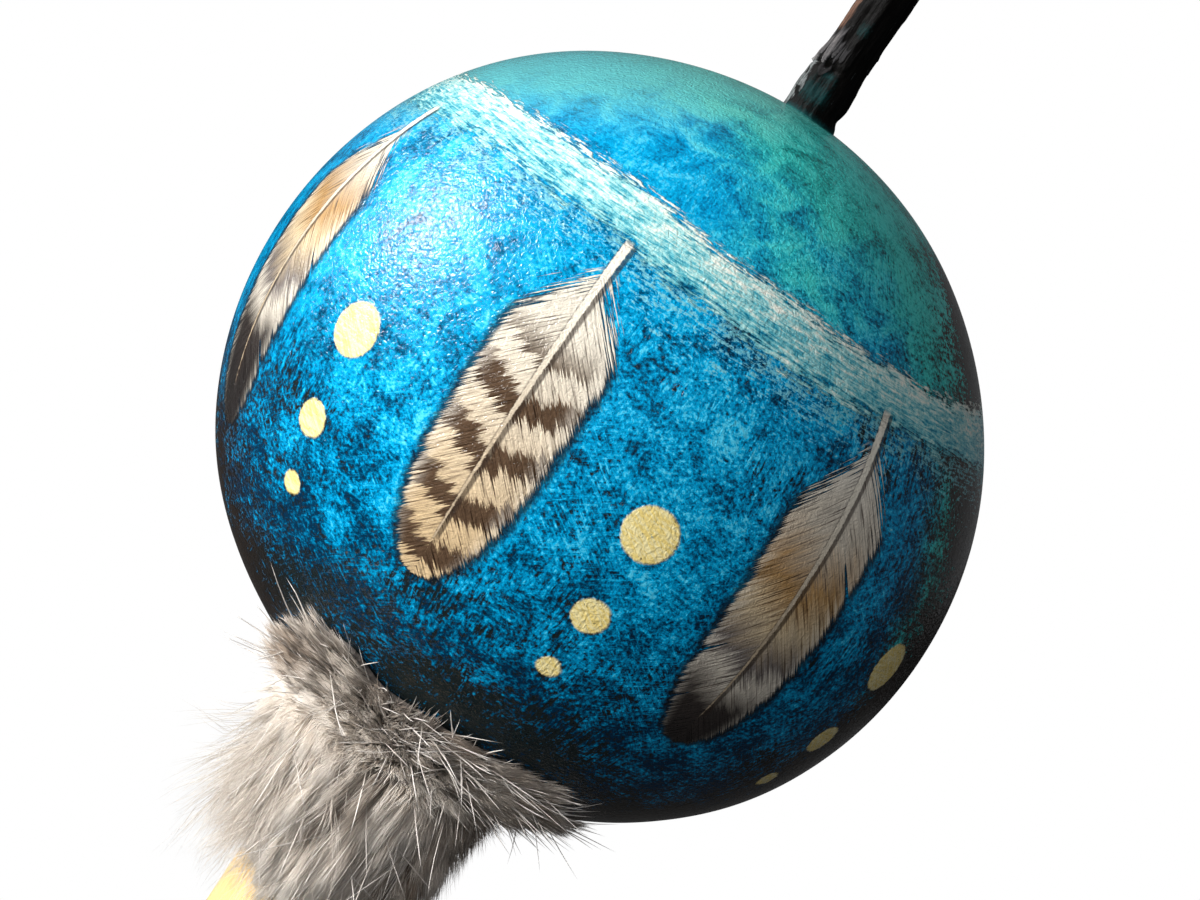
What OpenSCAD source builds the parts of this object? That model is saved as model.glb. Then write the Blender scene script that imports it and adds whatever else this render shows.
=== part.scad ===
// Gourd rattle: a hollow dried gourd on a wrapped stick, with a fur collar
// over the joint and loose pebbles inside.
// Millimetres. +Z runs up the handle towards the gourd, and the origin is the
// middle of the hand grip, on the axis of the stick.

/* [Gourd] */
// Width of the gourd at its fullest
gourd_w = 130; // [116:1:145]
// Height of the gourd from its lowest to its highest point
gourd_h = 126.8; // [114:0.2:140]
// Thickness of the dried shell
shell_t = 4.5; // [3:0.5:6]

/* [Stem] */
// Length of the stalk above the gourd
stem_len = 40; // [25:1:60]
// Mean diameter of the stalk
stem_d = 8.6; // [6:0.2:10]

/* [Handle] */
// Diameter of the stick where it is wrapped and where it enters the gourd
stick_d = 20; // [16:0.5:22]
// Diameter of the bare butt at the lower end of the stick
butt_d = 24; // [24:0.5:28]
// Length of the bare butt
butt_len = 18; // [14:1:30]
// Length of the stick from the gourd's lowest point to the butt's end
handle_len = 142; // [128:1:180]
// Length of the stick inside the gourd, from the gourd's lowest point
tenon_len = 28; // [16:1:32]
// Height of the middle of the hand grip above the butt's end
grip_height = 61; // [50:1:80]

/* [Wrap] */
// Thickness of the leather strip
strip_t = 1.8; // [1:0.1:2]
// Width of the leather strip
strip_w = 13; // [8:0.5:20]
// Diameter of the lashing thread
thread_d = 1.4; // [1:0.1:1.6]
// Turns in each lashing
thread_turns = 5; // [3:1:7]

/* [Fur] */
// Radius of the fur where it spreads over the gourd
fur_flare_r = 30.5; // [27:0.5:34]
// Radius of the fur at its waist, just below the gourd
fur_waist_r = 20.5; // [19:0.5:23]
// Radius of the fur at its fullest
fur_full_r = 24; // [22:0.5:28]
// Length of the fur down the handle, from the gourd's lowest point
fur_len = 38; // [34:1:46]

/* [Pebbles] */
// Pebbles in the inner ring round the stick
inner_pebbles = 7; // [4:1:8]
// Pebbles in the outer ring
outer_pebbles = 11; // [6:1:14]
// Diameter of the largest pebble
pebble_d = 7.4; // [5:0.2:7.6]

/* [Hidden] */
// Gap left between pieces that only touch
gap = 0.4;
// Gap between neighbouring turns of a winding
turn_gap = 0.5;
// Segments in a full turn of a winding
turn_steps = 24;

gourd_a = gourd_w / 2;
gourd_b = gourd_h / 2;
cavity_a = gourd_a - shell_t;
cavity_b = gourd_b - shell_t;
butt_z = -grip_height;
gourd_low_z = butt_z + handle_len;
gourd_z = gourd_low_z + gourd_b;
stick_r = stick_d / 2;
butt_r = butt_d / 2;
butt_round = 4;
hole_r = stick_r + 0.05;

// The flat scar on top of the gourd where the stalk grows
scar_r = 6.4;
scar_angle = acos(scar_r / gourd_a);
scar_z = gourd_z + gourd_b * sin(scar_angle);

// The putty fillet under the gourd
putty_r = 17.5;
putty_lip = 0.6;
putty_foot_z = gourd_low_z - 8;
putty_drop = gourd_under(putty_r) - 0.05 - putty_lip - putty_foot_z;

// The wrap runs from the butt's shoulder to just under the putty
wrap_low_z = butt_z + butt_len + 0.3;
wrap_high_z = putty_foot_z - 0.5;
wrap_r = stick_r + strip_t;
wrap_pitch = strip_w + turn_gap;
wrap_end_w = 0.8;

// The lashings sit on the wrap's two ends
thread_r = thread_d / 2;
thread_pitch = thread_d + turn_gap;
lashing_r = wrap_r + thread_r + 0.15;
lashing_len = thread_turns * thread_pitch + thread_d;
lower_lashing_z = wrap_low_z + 2.5;
upper_lashing_z = wrap_high_z - lashing_len - 1.5;

fur_low_z = gourd_low_z - fur_len;
pebble_count = inner_pebbles + outer_pebbles;
pebble_lift = 2 * gap;

// Height of the gourd's underside at radius r
function gourd_under(r) = gourd_z - gourd_b * sqrt(1 - pow(r / gourd_a, 2));

function ellipse_arc(a, b, from, to, steps) =
    [for (i = [0:steps]) let (t = from + (to - from) * i / steps) [a * cos(t), b * sin(t)]];

function bezier(p, q, r, s, steps) =
    [for (i = [0:steps]) let (t = i / steps, u = 1 - t)
        u * u * u * p + 3 * u * u * t * q + 3 * u * t * t * r + t * t * t * s];

// Triangles of a closed skin over rings of points, with a centre point at each end
function skin_faces(rings, sides) =
    let (start = rings * sides, last = (rings - 1) * sides)
    concat(
        [for (i = [0:rings - 2], j = [0:sides - 1])
            let (a = i * sides + j, b = i * sides + (j + 1) % sides)
            each [[a, b + sides, b], [a, a + sides, b + sides]]],
        [for (j = [0:sides - 1]) [start, j, (j + 1) % sides]],
        [for (j = [0:sides - 1]) [start + 1, last + (j + 1) % sides, last + j]]);

function mean_point(points) = [for (p = points) 1] * points / len(points);

module skin(rings, first = undef, last = undef) {
    ends = [is_undef(first) ? mean_point(rings[0]) : first,
            is_undef(last) ? mean_point(rings[len(rings) - 1]) : last];
    polyhedron(concat([for (ring = rings) each ring], ends),
               skin_faces(len(rings), len(rings[0])), convexity = 10);
}

module gourd_shell() {
    outside = ellipse_arc(gourd_a, gourd_b, -acos(hole_r / gourd_a), scar_angle, 72);
    inside = ellipse_arc(cavity_a, cavity_b, 90, -acos(hole_r / cavity_a), 72);
    scar = [[0, gourd_b * sin(scar_angle)]];
    color("teal")
        translate([0, 0, gourd_z])
            rotate_extrude($fn = 96) polygon(concat(outside, scar, inside));
}

// Stalk: five soft ribs that twist a little, a spread foot, a knuckle near
// the foot and a slanted broken tip
function stem_radius(t, angle) =
    let (foot = 0.32 * exp(-t * 16),
         knuckle = 0.07 * exp(-pow((t - 0.13) / 0.06, 2)) * (1 + sin(angle)),
         rib = 0.05 * cos(5 * angle + 50 * t))
    stem_d / 2 * (1 - 0.06 * t + foot + knuckle + rib);

function stem_ring(t, sides) =
    let (lean = 1.6 * t * t)
    [for (j = [0:sides - 1])
        let (angle = 360 * j / sides, r = stem_radius(t, angle), slant = 1.4 * pow(t, 6))
        [lean + r * cos(angle), r * sin(angle), scar_z + stem_len * t + slant * cos(angle)]];

module gourd_stem() {
    levels = [0, 0.02, 0.05, 0.09, 0.13, 0.17, 0.23, 0.32, 0.44, 0.56, 0.68, 0.8, 0.92, 1];
    color("dimgray") skin([for (t = levels) stem_ring(t, 15)]);
}

module handle_stick() {
    top_z = gourd_low_z + tenon_len;
    chamfer = 1.5;
    round_end = [for (t = [-90:15:0])
        [butt_r - butt_round + butt_round * cos(t), butt_z + butt_round + butt_round * sin(t)]];
    color("burlywood")
        rotate_extrude($fn = 96)
            polygon(concat(
                [[0, butt_z]], round_end,
                [[butt_r, butt_z + butt_len], [stick_r, butt_z + butt_len],
                 [stick_r, top_z - chamfer], [stick_r - chamfer, top_z], [0, top_z]]));
}

// Concave curve of the putty, grown outwards by clear
function putty_curve(from, to, clear) =
    let (reach = putty_r - stick_r - putty_lip - clear)
    [for (p = ellipse_arc(reach, putty_drop - clear, from, to, 12)) [putty_r - p[0], putty_foot_z + p[1]]];

// The gourd's underside from radius from to radius to, lowered by clear
function under_curve(from, to, clear, steps) =
    [for (i = [0:steps]) let (r = from + (to - from) * i / steps) [r, gourd_under(r) - clear]];

module putty_fillet() {
    color("saddlebrown")
        rotate_extrude($fn = 96)
            polygon(concat(
                putty_curve(0, 90, 0),
                under_curve(putty_r, stick_r + 0.03, 0.05, 6),
                [[stick_r + 0.03, putty_foot_z]]));
}

// Flat strip wound up the stick, cut to a taper where each end of the wrap is
function strip_ring(turn) =
    let (low = wrap_low_z + wrap_pitch * turn - strip_w + wrap_end_w,
         from = max(low, wrap_low_z), to = min(low + strip_w, wrap_high_z),
         angle = 360 * turn, inner = (stick_r + 0.03) / cos(180 / turn_steps), way = [cos(angle), sin(angle)])
    [for (p = [[inner, from], [wrap_r, from], [wrap_r, to], [inner, to]]) [p[0] * way[0], p[0] * way[1], p[1]]];

wrap_turns = (wrap_high_z - wrap_low_z + strip_w - 2 * wrap_end_w) / wrap_pitch;
wrap_rings = [for (i = [0:floor(wrap_turns * turn_steps)]) strip_ring(i / turn_steps)];

module handle_wrap() {
    color("goldenrod") skin(wrap_rings);
}

// Thread wound round the wrap, starting at height z, with straight ends
function thread_ring(angle, z, on) =
    let (way = [cos(angle), sin(angle), 0],
         rise = thread_pitch / (2 * PI * lashing_r),
         along = [-sin(angle), cos(angle), rise] / norm([1, rise]),
         up = cross(way, along),
         centre = lashing_r * way + [0, 0, z + thread_r + thread_pitch * angle / 360] + on * along)
    [for (j = [0:5]) centre + thread_r * (cos(60 * j) * way + sin(60 * j) * up)];

function thread_rings(z) =
    let (steps = thread_turns * turn_steps, step = 360 / turn_steps)
    concat([thread_ring(0, z, -thread_d)],
           [for (i = [0:steps]) thread_ring(i * step, z, 0)],
           [thread_ring(steps * step, z, thread_d)]);

module upper_lashing() {
    color("tan") skin(thread_rings(upper_lashing_z));
}

module lower_lashing() {
    color("tan") skin(thread_rings(lower_lashing_z));
}

// Least distance between points one turn apart
function least_gap(low_points, high_points) =
    min([for (i = [0:len(low_points) - turn_steps - 1])
        norm(high_points[i + turn_steps] - low_points[i])]);

thread_centres = [for (ring = thread_rings(0)) mean_point(ring)];
echo(handle_wrap_least_gap = least_gap([for (r = wrap_rings) r[2]], [for (r = wrap_rings) r[1]]));
echo(lashing_least_gap = least_gap(thread_centres, thread_centres) - thread_d);

// The hide and hair together, as one soft ring: it spreads over the gourd,
// draws in under it, swells and closes on the handle
module fur_collar() {
    tip = [fur_flare_r, gourd_under(fur_flare_r) - gap];
    waist = [fur_waist_r, gourd_low_z - 4];
    full = [fur_full_r, gourd_low_z - 19];
    end = [wrap_r + 1.5, fur_low_z];
    lashing_clear_r = lashing_r + thread_r + gap;
    curve_from = acos((putty_r - lashing_clear_r) / (putty_r - stick_r - putty_lip - gap));
    outside = concat(
        bezier(tip, tip + [-5, -3], waist + [0, 4], waist, 10),
        bezier(waist, waist + [0, -6], full + [0, 6], full, 10),
        bezier(full, full + [0, -10], end + [3, 4], end, 10));
    inside = concat(
        [[wrap_r + gap, fur_low_z], [wrap_r + gap, upper_lashing_z - 1], [lashing_clear_r, upper_lashing_z - 1]],
        putty_curve(curve_from, 90, gap),
        under_curve(putty_r + 1, fur_flare_r - 1, gap, 10));
    color("gray") rotate_extrude($fn = 96) polygon(concat(outside, inside));
}

// Pebble i lies on the floor of the cavity, in one of two rings round the stick
function pebble_name(i) = str("pebble_", i);
function pebble_r(i) = pebble_d / 2 * (0.89 + 0.11 * sin(137 * i));
function is_inner(i) = i <= inner_pebbles;
function pebble_rho(i) = is_inner(i) ? 15.6 : 24.6;
function pebble_angle(i) = is_inner(i) ? 360 * i / inner_pebbles : 360 * (i + 0.4) / outer_pebbles;
function pebble_reach(i) = sqrt(pow(cavity_b - gap - pebble_r(i), 2) - pow(pebble_rho(i), 2));
function pebble_travel(i) = 2 * pebble_reach(i);

function pebble_ring(i, latitude, sides) =
    [for (j = [0:sides - 1])
        let (angle = 360 * j / sides,
             r = pebble_r(i) * (0.94 + 0.06 * sin(2 * angle + 97 * i + 2 * latitude)))
        [r * cos(latitude) * cos(angle), 0.86 * r * cos(latitude) * sin(angle), 0.74 * r * sin(latitude)]];

module pebble(i) {
    pole = [0, 0, 0.7 * pebble_r(i)];
    color("darkgray")
        rotate([0, 0, pebble_angle(i)])
            translate([pebble_rho(i), 0, gourd_z - pebble_reach(i)])
                rotate([0, 0, 70 * i])
                    skin([for (latitude = [-60:30:60]) pebble_ring(i, latitude, 10)], -pole, pole);
}

echo(pebble_travels = [for (i = [1:pebble_count]) pebble_travel(i)]);

gourd_shell();
gourd_stem();
handle_stick();
putty_fillet();
handle_wrap();
upper_lashing();
lower_lashing();
fur_collar();
for (i = [1:pebble_count])
    pebble(i);
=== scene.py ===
import math

import bpy
import numpy as np
from mathutils import Matrix, Vector, noise as mnoise


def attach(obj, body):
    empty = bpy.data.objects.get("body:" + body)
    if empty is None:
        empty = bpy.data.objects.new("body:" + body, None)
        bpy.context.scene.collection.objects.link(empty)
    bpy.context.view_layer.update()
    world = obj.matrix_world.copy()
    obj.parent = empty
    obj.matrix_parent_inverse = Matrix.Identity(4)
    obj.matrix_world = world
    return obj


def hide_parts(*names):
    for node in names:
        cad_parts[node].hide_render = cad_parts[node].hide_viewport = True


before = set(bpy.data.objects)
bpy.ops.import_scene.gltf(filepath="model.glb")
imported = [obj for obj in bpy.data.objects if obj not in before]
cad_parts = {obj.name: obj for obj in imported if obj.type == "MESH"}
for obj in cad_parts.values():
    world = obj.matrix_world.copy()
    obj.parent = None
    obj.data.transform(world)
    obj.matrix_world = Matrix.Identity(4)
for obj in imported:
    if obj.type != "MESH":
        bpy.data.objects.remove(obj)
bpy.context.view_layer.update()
rng = np.random.default_rng(20)

MM = 0.001

# Sizes of the object in millimetres, as in the solids
GOURD_A, GOURD_B, WALL = 65.0, 63.4, 4.5
GOURD_Z = 144.4
BUTT_Z = -61.0
SCAR_R = 6.4
SCAR_Z = GOURD_Z + GOURD_B * math.sqrt(1 - (SCAR_R / GOURD_A) ** 2)
STEM_LEN, STEM_R = 40.0, 4.3
STICK_R, WRAP_R = 10.0, 11.8
WRAP_LOW, WRAP_HIGH = BUTT_Z + 18.3, 72.5
STRIP_W, PITCH = 13.0, 13.5
THREAD_R, THREAD_PITCH, THREAD_TURNS = 0.7, 1.9, 5
PLY_R, PLY_OFF, HALF_TWIST = 0.37, 0.33, 2.3


# Shader wiring with plain arithmetic

def plug(socket, value):
    """Links a wire to a socket, or sets the socket's value."""
    if isinstance(value, Wire):
        socket.id_data.links.new(value.socket, socket)
    elif isinstance(value, tuple) and len(value) == 3 and len(socket.default_value) == 4:
        socket.default_value = (*value, 1.0)
    else:
        socket.default_value = value


def empty_tree(owner):
    """The node tree of a material or a world, with nothing in it."""
    owner.use_nodes = True
    owner.node_tree.nodes.clear()
    return owner.node_tree


def add_node(tree, kind, *values, **settings):
    """A node with its settings, and with values set or linked to its first sockets."""
    node = tree.nodes.new("ShaderNode" + kind)
    for name, setting in settings.items():
        setattr(node, name, setting)
    for socket, value in zip(node.inputs, values):
        plug(socket, value)
    return node


def wire_from(tree, kind, *values, output=0, **settings):
    """One output of a new node."""
    return Wire(add_node(tree, kind, *values, **settings).outputs[output])


def operation(kind):
    """A method that sends a wire through a Math node."""
    def method(self, *others):
        return self.math(kind, *others)
    return method


class Wire:
    """An output socket that takes plain arithmetic."""

    def __init__(self, socket):
        self.socket = socket

    def math(self, kind, *others):
        return wire_from(self.socket.id_data, "Math", self, *others, operation=kind)

    def __rsub__(self, other):
        return (self * -1.0) + other

    def smooth(self, low, high):
        """A soft step from 0 to 1."""
        return wire_from(self.socket.id_data, "MapRange", self, low, high, interpolation_type="SMOOTHSTEP")

    def swing(self, amount):
        """Noise about nought, times an amount."""
        return (self - 0.5) * amount

    __add__ = __radd__ = operation("ADD")
    __sub__ = operation("SUBTRACT")
    __mul__ = __rmul__ = operation("MULTIPLY")
    __truediv__ = operation("DIVIDE")
    abs, floor, sin = map(operation, ("ABSOLUTE", "FLOOR", "SINE"))
    power, least, most = map(operation, ("POWER", "MINIMUM", "MAXIMUM"))


class Shader:
    """One material with a Principled surface and short names for its nodes."""

    def __init__(self, name):
        self.mat = bpy.data.materials.new(name)
        self.tree = empty_tree(self.mat)
        self.surface = self.node("BsdfPrincipled")
        self.node("OutputMaterial", Wire(self.surface.outputs[0]))
        own = wire_from(self.tree, "TexCoord", output="Object")
        scaled = self.node("VectorMath", own, operation="SCALE")
        scaled.inputs["Scale"].default_value = 1.0 / MM
        self.point = Wire(scaled.outputs[0])
        self.x, self.y, self.z = map(Wire, self.node("SeparateXYZ", self.point).outputs)

    def node(self, kind, *values, **settings):
        return add_node(self.tree, kind, *values, **settings)

    def set(self, **values):
        for name, value in values.items():
            plug(self.surface.inputs[name.replace("_", " ")], value)
        return self.mat

    def moved(self, by):
        """The point elsewhere, for a noise of its own."""
        return wire_from(self.tree, "VectorMath", self.point, by, operation="ADD")

    def vector(self, x, y, z):
        return wire_from(self.tree, "CombineXYZ", x, y, z)

    def noise(self, size, at=None, detail=2.0, rough=0.5, warp=0.0):
        node = self.node("TexNoise", at or self.point)
        values = {"Scale": 1.0 / size, "Detail": detail, "Roughness": rough, "Distortion": warp}
        for name, value in values.items():
            node.inputs[name].default_value = value
        return Wire(node.outputs[0])

    def mix(self, amount, a, b, kind="MIX"):
        node = self.node("Mix", amount, data_type="RGBA", blend_type=kind)
        plug(node.inputs[6], a)
        plug(node.inputs[7], b)
        return Wire(node.outputs[2])

    def ramp(self, value, *stops):
        node = self.node("ValToRGB", value)
        while len(node.color_ramp.elements) < len(stops):
            node.color_ramp.elements.new(0.5)
        for element, (place, color) in zip(node.color_ramp.elements, stops):
            element.position = place
            element.color = (*color, 1.0)
        return Wire(node.outputs[0])

    def attribute(self, name):
        return wire_from(self.tree, "Attribute", output="Fac", attribute_name=name)

    def chance(self, value):
        node = self.node("TexWhiteNoise", noise_dimensions="1D")
        plug(node.inputs["W"], value)
        return Wire(node.outputs["Value"])

    def bump(self, height, depth):
        """Relief of depth millimetres."""
        node = self.node("Bump")
        node.inputs["Distance"].default_value = depth / 1000.0
        plug(node.inputs["Height"], height)
        return Wire(node.outputs[0])


# Painted gourd

FEATHERS = 7
FEATHER_STEP = math.tau / FEATHERS
FEATHER_TURN = math.radians(12.6)
# Heights along the skin from the gourd's middle, in millimetres
BAND_ARC, BAND_HALF = 37.0, 5.6
QUILL_ARC = 34.0
DOTS = ((-3.0, 4.8), (-19.0, 3.3), (-30.5, 2.2))


def gourd_paint():
    s = Shader("painted_gourd")
    up = (s.z - GOURD_Z) * (1.0 / GOURD_B)
    lon = s.x.math("ARCTAN2", s.y * -1.0)
    arc = up.least(1.0).most(-1.0).math("ARCSINE") * 64.2
    ring = (s.x * s.x + s.y * s.y).math("SQRT")
    front = s.y * (-1.0 / GOURD_A)
    side = s.x * (1.0 / GOURD_A)

    # Brush marks laid four ways, without a seam
    def strokes(turn, across, along):
        swing = lon + arc * turn
        reach = 52.0 / across
        place = s.vector(swing.sin() * reach, swing.math("COSINE") * reach, arc * (1.0 / along))
        return s.noise(1.0, place, 3.0, 0.6, 0.6)

    upright, level = strokes(0.0, 0.52, 3.0), strokes(0.0, 3.4, 0.5)
    slant, cross = strokes(0.021, 0.52, 2.6), strokes(-0.024, 0.52, 2.6)
    patch = s.noise(15.0)
    patch_2 = s.noise(27.0, s.moved((40.0, 7.0, 91.0)))
    wash = s.noise(6.5, s.moved((11.0, 63.0, 5.0)), 3.0, 0.55, 0.8)
    fine = s.noise(0.66, detail=3.0, rough=0.65)
    mottle = s.noise(1.7, detail=4.0, rough=0.7, warp=0.8)
    hatch = slant.most(cross) - 0.05
    worked = s.mix(patch_2.smooth(0.4, 0.6), upright, hatch)
    hair = s.mix(patch.smooth(0.42, 0.58), worked, s.mix(0.5, level, hatch))

    # Where the paint lies thick, and where the brown skin shows: on the flanks and towards the neck. Near
    # the neck and on the right shoulder the dark skin is partly painted shade
    inwards = front.most(front * -2.4)
    flank = 1.0 - (inwards - side * 0.09 + patch.swing(0.4)).smooth(0.08, 0.47)
    bare = flank * (1.0 - (up - side * 0.9).smooth(0.25, 0.75))
    low = up * -1.0
    cover = 0.9 + up.smooth(0.5, 0.9) * 0.2 - low.smooth(0.0, 0.6) * 0.2
    # Less paint just above the fur: partly bare skin, partly painted shadow under the fur
    cover -= (low + front * 0.15).smooth(0.66, 0.8) * 0.45
    cover -= bare * (0.46 + side.smooth(0.3, 0.6) * 0.36)
    cover -= (side * -1.0).smooth(0.35, 0.9) * low.smooth(-0.1, 0.5) * 0.38
    thick = (up * 0.7 - side * 0.7).smooth(0.15, 0.6)
    # The right shoulder, turned from the lamps: partly worn paint, partly painted shade
    turned = front.most(front * -2.0 - 0.3)
    worn = (side + up * 0.35 - turned * 0.5 + patch.swing(0.6)).smooth(0.44, 0.7)
    cover = cover + patch.swing(0.75) + patch_2.swing(0.5) + thick * 0.38 - worn * 0.33
    calm = 1.0 - thick * 0.5
    speck = cover + (hair.swing(2.4) + fine.swing(1.4) + mottle.swing(1.0)) * calm
    paint = speck.smooth(0.4, 0.53)

    skin = s.mix(s.noise(5.0, detail=4.0), (0.0045, 0.004, 0.0035), (0.026, 0.0155, 0.01))
    skin = s.mix(front.smooth(0.35, 0.65) * 0.75, skin, (0.006, 0.016, 0.019))
    busy = (hair.swing(1.7) + fine.swing(1.5) + mottle.swing(0.8)) * calm + wash.swing(1.1) + 0.5
    # Darker towards the bottom and the right flank, partly painted shade; a little lighter towards the top
    darker_paint_and_shade = (side * 0.75 + low * 0.6).smooth(0.2, 1.0) * 0.25
    darker_paint_and_shade += (low * 0.7 - side * 0.6).smooth(0.15, 0.75) * 0.13
    darker_paint_and_shade = darker_paint_and_shade + low.smooth(0.35, 0.6) * 0.08 - up.smooth(0.45, 0.8) * 0.1
    laid_on = cover.least(1.0) - 0.7
    blue = s.ramp(busy + laid_on * 0.5 - darker_paint_and_shade,
                  (0.2, (0.0, 0.022, 0.06)), (0.42, (0.0, 0.105, 0.225)),
                  (0.6, (0.0, 0.255, 0.52)), (0.78, (0.001, 0.385, 0.7)), (0.98, (0.08, 0.57, 0.82)))
    teal = s.ramp(busy + laid_on * 0.3 - darker_paint_and_shade,
                  (0.2, (0.003, 0.036, 0.036)), (0.44, (0.01, 0.175, 0.165)),
                  (0.62, (0.018, 0.43, 0.41)), (0.85, (0.06, 0.63, 0.59)))
    rim = side.smooth(0.72, 0.95)
    greener = up * 0.98 + side * 0.36 + rim * 0.5 + patch_2.swing(0.6) + wash.swing(0.3)
    green = greener.smooth(0.56, 0.92)
    sky = s.mix((up - side * 0.6 + wash.swing(0.2)).smooth(0.88, 1.08) * 0.85, s.mix(green, blue, teal),
                s.mix(side.smooth(-0.7, 0.1), (0.105, 0.4, 0.4), (0.16, 0.66, 0.58)))
    ground = s.mix(paint, skin, sky)
    # Painted shade in a ring round the foot of the stalk, wider on the front and right
    foot = 1.0 - (ring + fine.swing(2.0) - s.x * 0.1 + s.y * 0.1).smooth(4.6, 6.8)
    ground = s.mix(foot * up.smooth(0.5, 0.9) * 0.85, ground, (0.004, 0.02, 0.021))

    # Aqua band round the top: thick and white above, brushed out dry below
    wobble = (lon * 3.0).sin() * 1.3 + patch.swing(5.0)
    rise = arc - BAND_ARC + wobble
    band = (BAND_HALF - rise.abs() + level.swing(10.0) + fine.swing(2.5)).smooth(0.0, 1.4)
    dry = level.swing(2.0) + fine.swing(1.4) + hatch.swing(1.2) - (rise + 5.5).abs() * 0.055
    hem = dry.smooth(-0.16, 0.1)
    aqua = s.ramp(level.swing(1.2) + fine.swing(0.5) + wash.swing(0.5) + rise * 0.026 + 0.5,
                  (0.22, (0.006, 0.21, 0.34)), (0.38, (0.1, 0.45, 0.54)),
                  (0.56, (0.38, 0.7, 0.7)), (0.74, (0.84, 0.88, 0.8)))
    color = s.mix(hem * 0.8, ground, s.mix(fine, (0.05, 0.38, 0.5), (0.3, 0.62, 0.66)))
    color = s.mix(band, color, aqua)

    # Feathers that hang from the band, each a little different
    ringwise = (lon + FEATHER_TURN).math("WRAP", math.pi, -math.pi)
    sector = (ringwise * (1.0 / FEATHER_STEP) + 0.5).floor()
    luck, luck_2 = s.chance(sector + 3.0), s.chance(sector + 31.0)
    down = QUILL_ARC - arc
    across = (ringwise - sector * FEATHER_STEP) * ring - (down * (1.0 / 24.0)).sin() * (luck - 0.5) * 5.0
    part = down / (60.0 + luck_2 * 9.0)
    off = across.abs()
    half = across.math("SIGN") * 9.0 + sector * 17.0
    slope = down - off * 1.05
    fork = s.noise(3.0, s.vector(half, slope, 0.0), 1.0) - 0.5
    barb = s.noise(1.0, s.vector(half, slope * (1.0 / 0.4), off * (1.0 / 5.0)), 2.0, 0.6)
    tip = ((part - 0.5) * (1.0 / 0.49)).most(0.0).least(1.0)
    vane = part.smooth(0.1, 0.34) * (1.0 - tip.power(2.6)).math("SQRT") * 9.6
    split = (1.0 - fork.smooth(-0.25, -0.17)) * off.smooth(1.5, 6.0) * 5.0
    fluff = (1.0 - part.smooth(0.16, 0.36)) * (barb - 0.42) * 14.0
    torn = fork * 2.2 + barb.swing(3.2) - split + fluff
    inner = part.smooth(0.09, 0.13) * (1.0 - part).smooth(0.0, 0.015)
    inside = (vane - off + torn).smooth(0.0, 0.8) * inner
    shift = part + fork * 0.1 + barb.swing(0.12) + off * 0.006
    plain = s.ramp(shift + luck.swing(0.12),
                   (0.14, (0.8, 0.77, 0.7)), (0.3, (0.74, 0.68, 0.58)), (0.45, (0.5, 0.3, 0.12)),
                   (0.55, (0.7, 0.57, 0.38)), (0.66, (0.2, 0.18, 0.175)), (0.72, (0.72, 0.68, 0.6)),
                   (0.8, (0.045, 0.038, 0.036)), (0.93, (0.025, 0.022, 0.022)))
    bars = (shift * 44.0 + luck * 6.0).sin().smooth(-0.15, 0.35)
    pale_vane = s.mix(part.smooth(0.2, 0.9), (0.8, 0.76, 0.67), (0.66, 0.5, 0.3))
    barred = s.mix(bars * part.smooth(0.26, 0.4), pale_vane, (0.1, 0.062, 0.038))
    plume = s.mix((sector + 2.0 * FEATHERS).math("MODULO", 2.0), barred, plain)
    streak = s.ramp(barb, (0.31, (0.14, 0.12, 0.11)), (0.45, (0.74, 0.72, 0.7)),
                    (0.66, (1.04, 1.02, 0.99)))
    plume = s.mix(1.0, plume, streak, "MULTIPLY")
    frayed = (off - vane * 0.6).smooth(0.0, 4.0) * barb.smooth(0.4, 0.6) * 0.6
    plume = s.mix(frayed, plume, (0.74, 0.69, 0.6))
    halo = (vane - off + torn * 0.6 + 1.6 + hair.swing(4.0)).smooth(0.0, 1.4)
    halo = halo * part.smooth(0.1, 0.18) * (1.035 - part).smooth(0.0, 0.06)
    color = s.mix(halo * 0.86, color, (0.006, 0.008, 0.011))
    color = s.mix(inside, color, plume)
    quill = part.smooth(0.0, 0.02) * (0.9 - part).smooth(0.0, 0.05)
    shaft_w = 0.85 - part * 0.75
    shaft = (shaft_w - off + fine.swing(0.6)).smooth(0.0, 0.25) * quill
    shade = (shaft_w + 0.55 - (across - 0.35).abs()).smooth(0.0, 0.4) * quill
    color = s.mix(shade * 0.75, color, (0.03, 0.02, 0.015))
    color = s.mix(shaft, color, s.mix(part.smooth(0.05, 0.7), (0.84, 0.8, 0.7), (0.5, 0.4, 0.28)))

    # Pale yellow dots between the feathers
    gap = (ringwise * (1.0 / FEATHER_STEP)).floor() + 0.5
    dot_x = (ringwise - gap * FEATHER_STEP) * ring
    dots = None
    for place, size in DOTS:
        spread = (dot_x * dot_x + (arc - place) * (arc - place)).math("SQRT")
        one = (size - spread + fine.swing(0.8) + mottle.swing(0.8)).smooth(0.0, 0.5)
        dots = one if dots is None else dots.most(one)
    yellow = s.mix(((level + slant) * 0.5).smooth(0.42, 0.6), (0.84, 0.66, 0.22), (0.9, 0.8, 0.44))
    color = s.mix(dots * (fine + level * 0.4).smooth(0.42, 0.56), color, yellow)

    laid = inside.most(band).most(dots)
    ripple = s.noise(0.85, detail=1.5, warp=1.1)
    relief = ripple * 0.9 + hair * 0.36 + fine * 0.15 + paint * 0.25 + laid * 0.5
    relief = relief + barb * inside * 0.6 + level * band * 0.6
    gloss = hair.smooth(0.2, 0.8) * 0.06 + 0.08
    return s.set(Base_Color=color, Roughness=gloss, Normal=s.bump(relief, 0.25), Specular_IOR_Level=0.2)


# Plain surfaces of the other pieces

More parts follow.
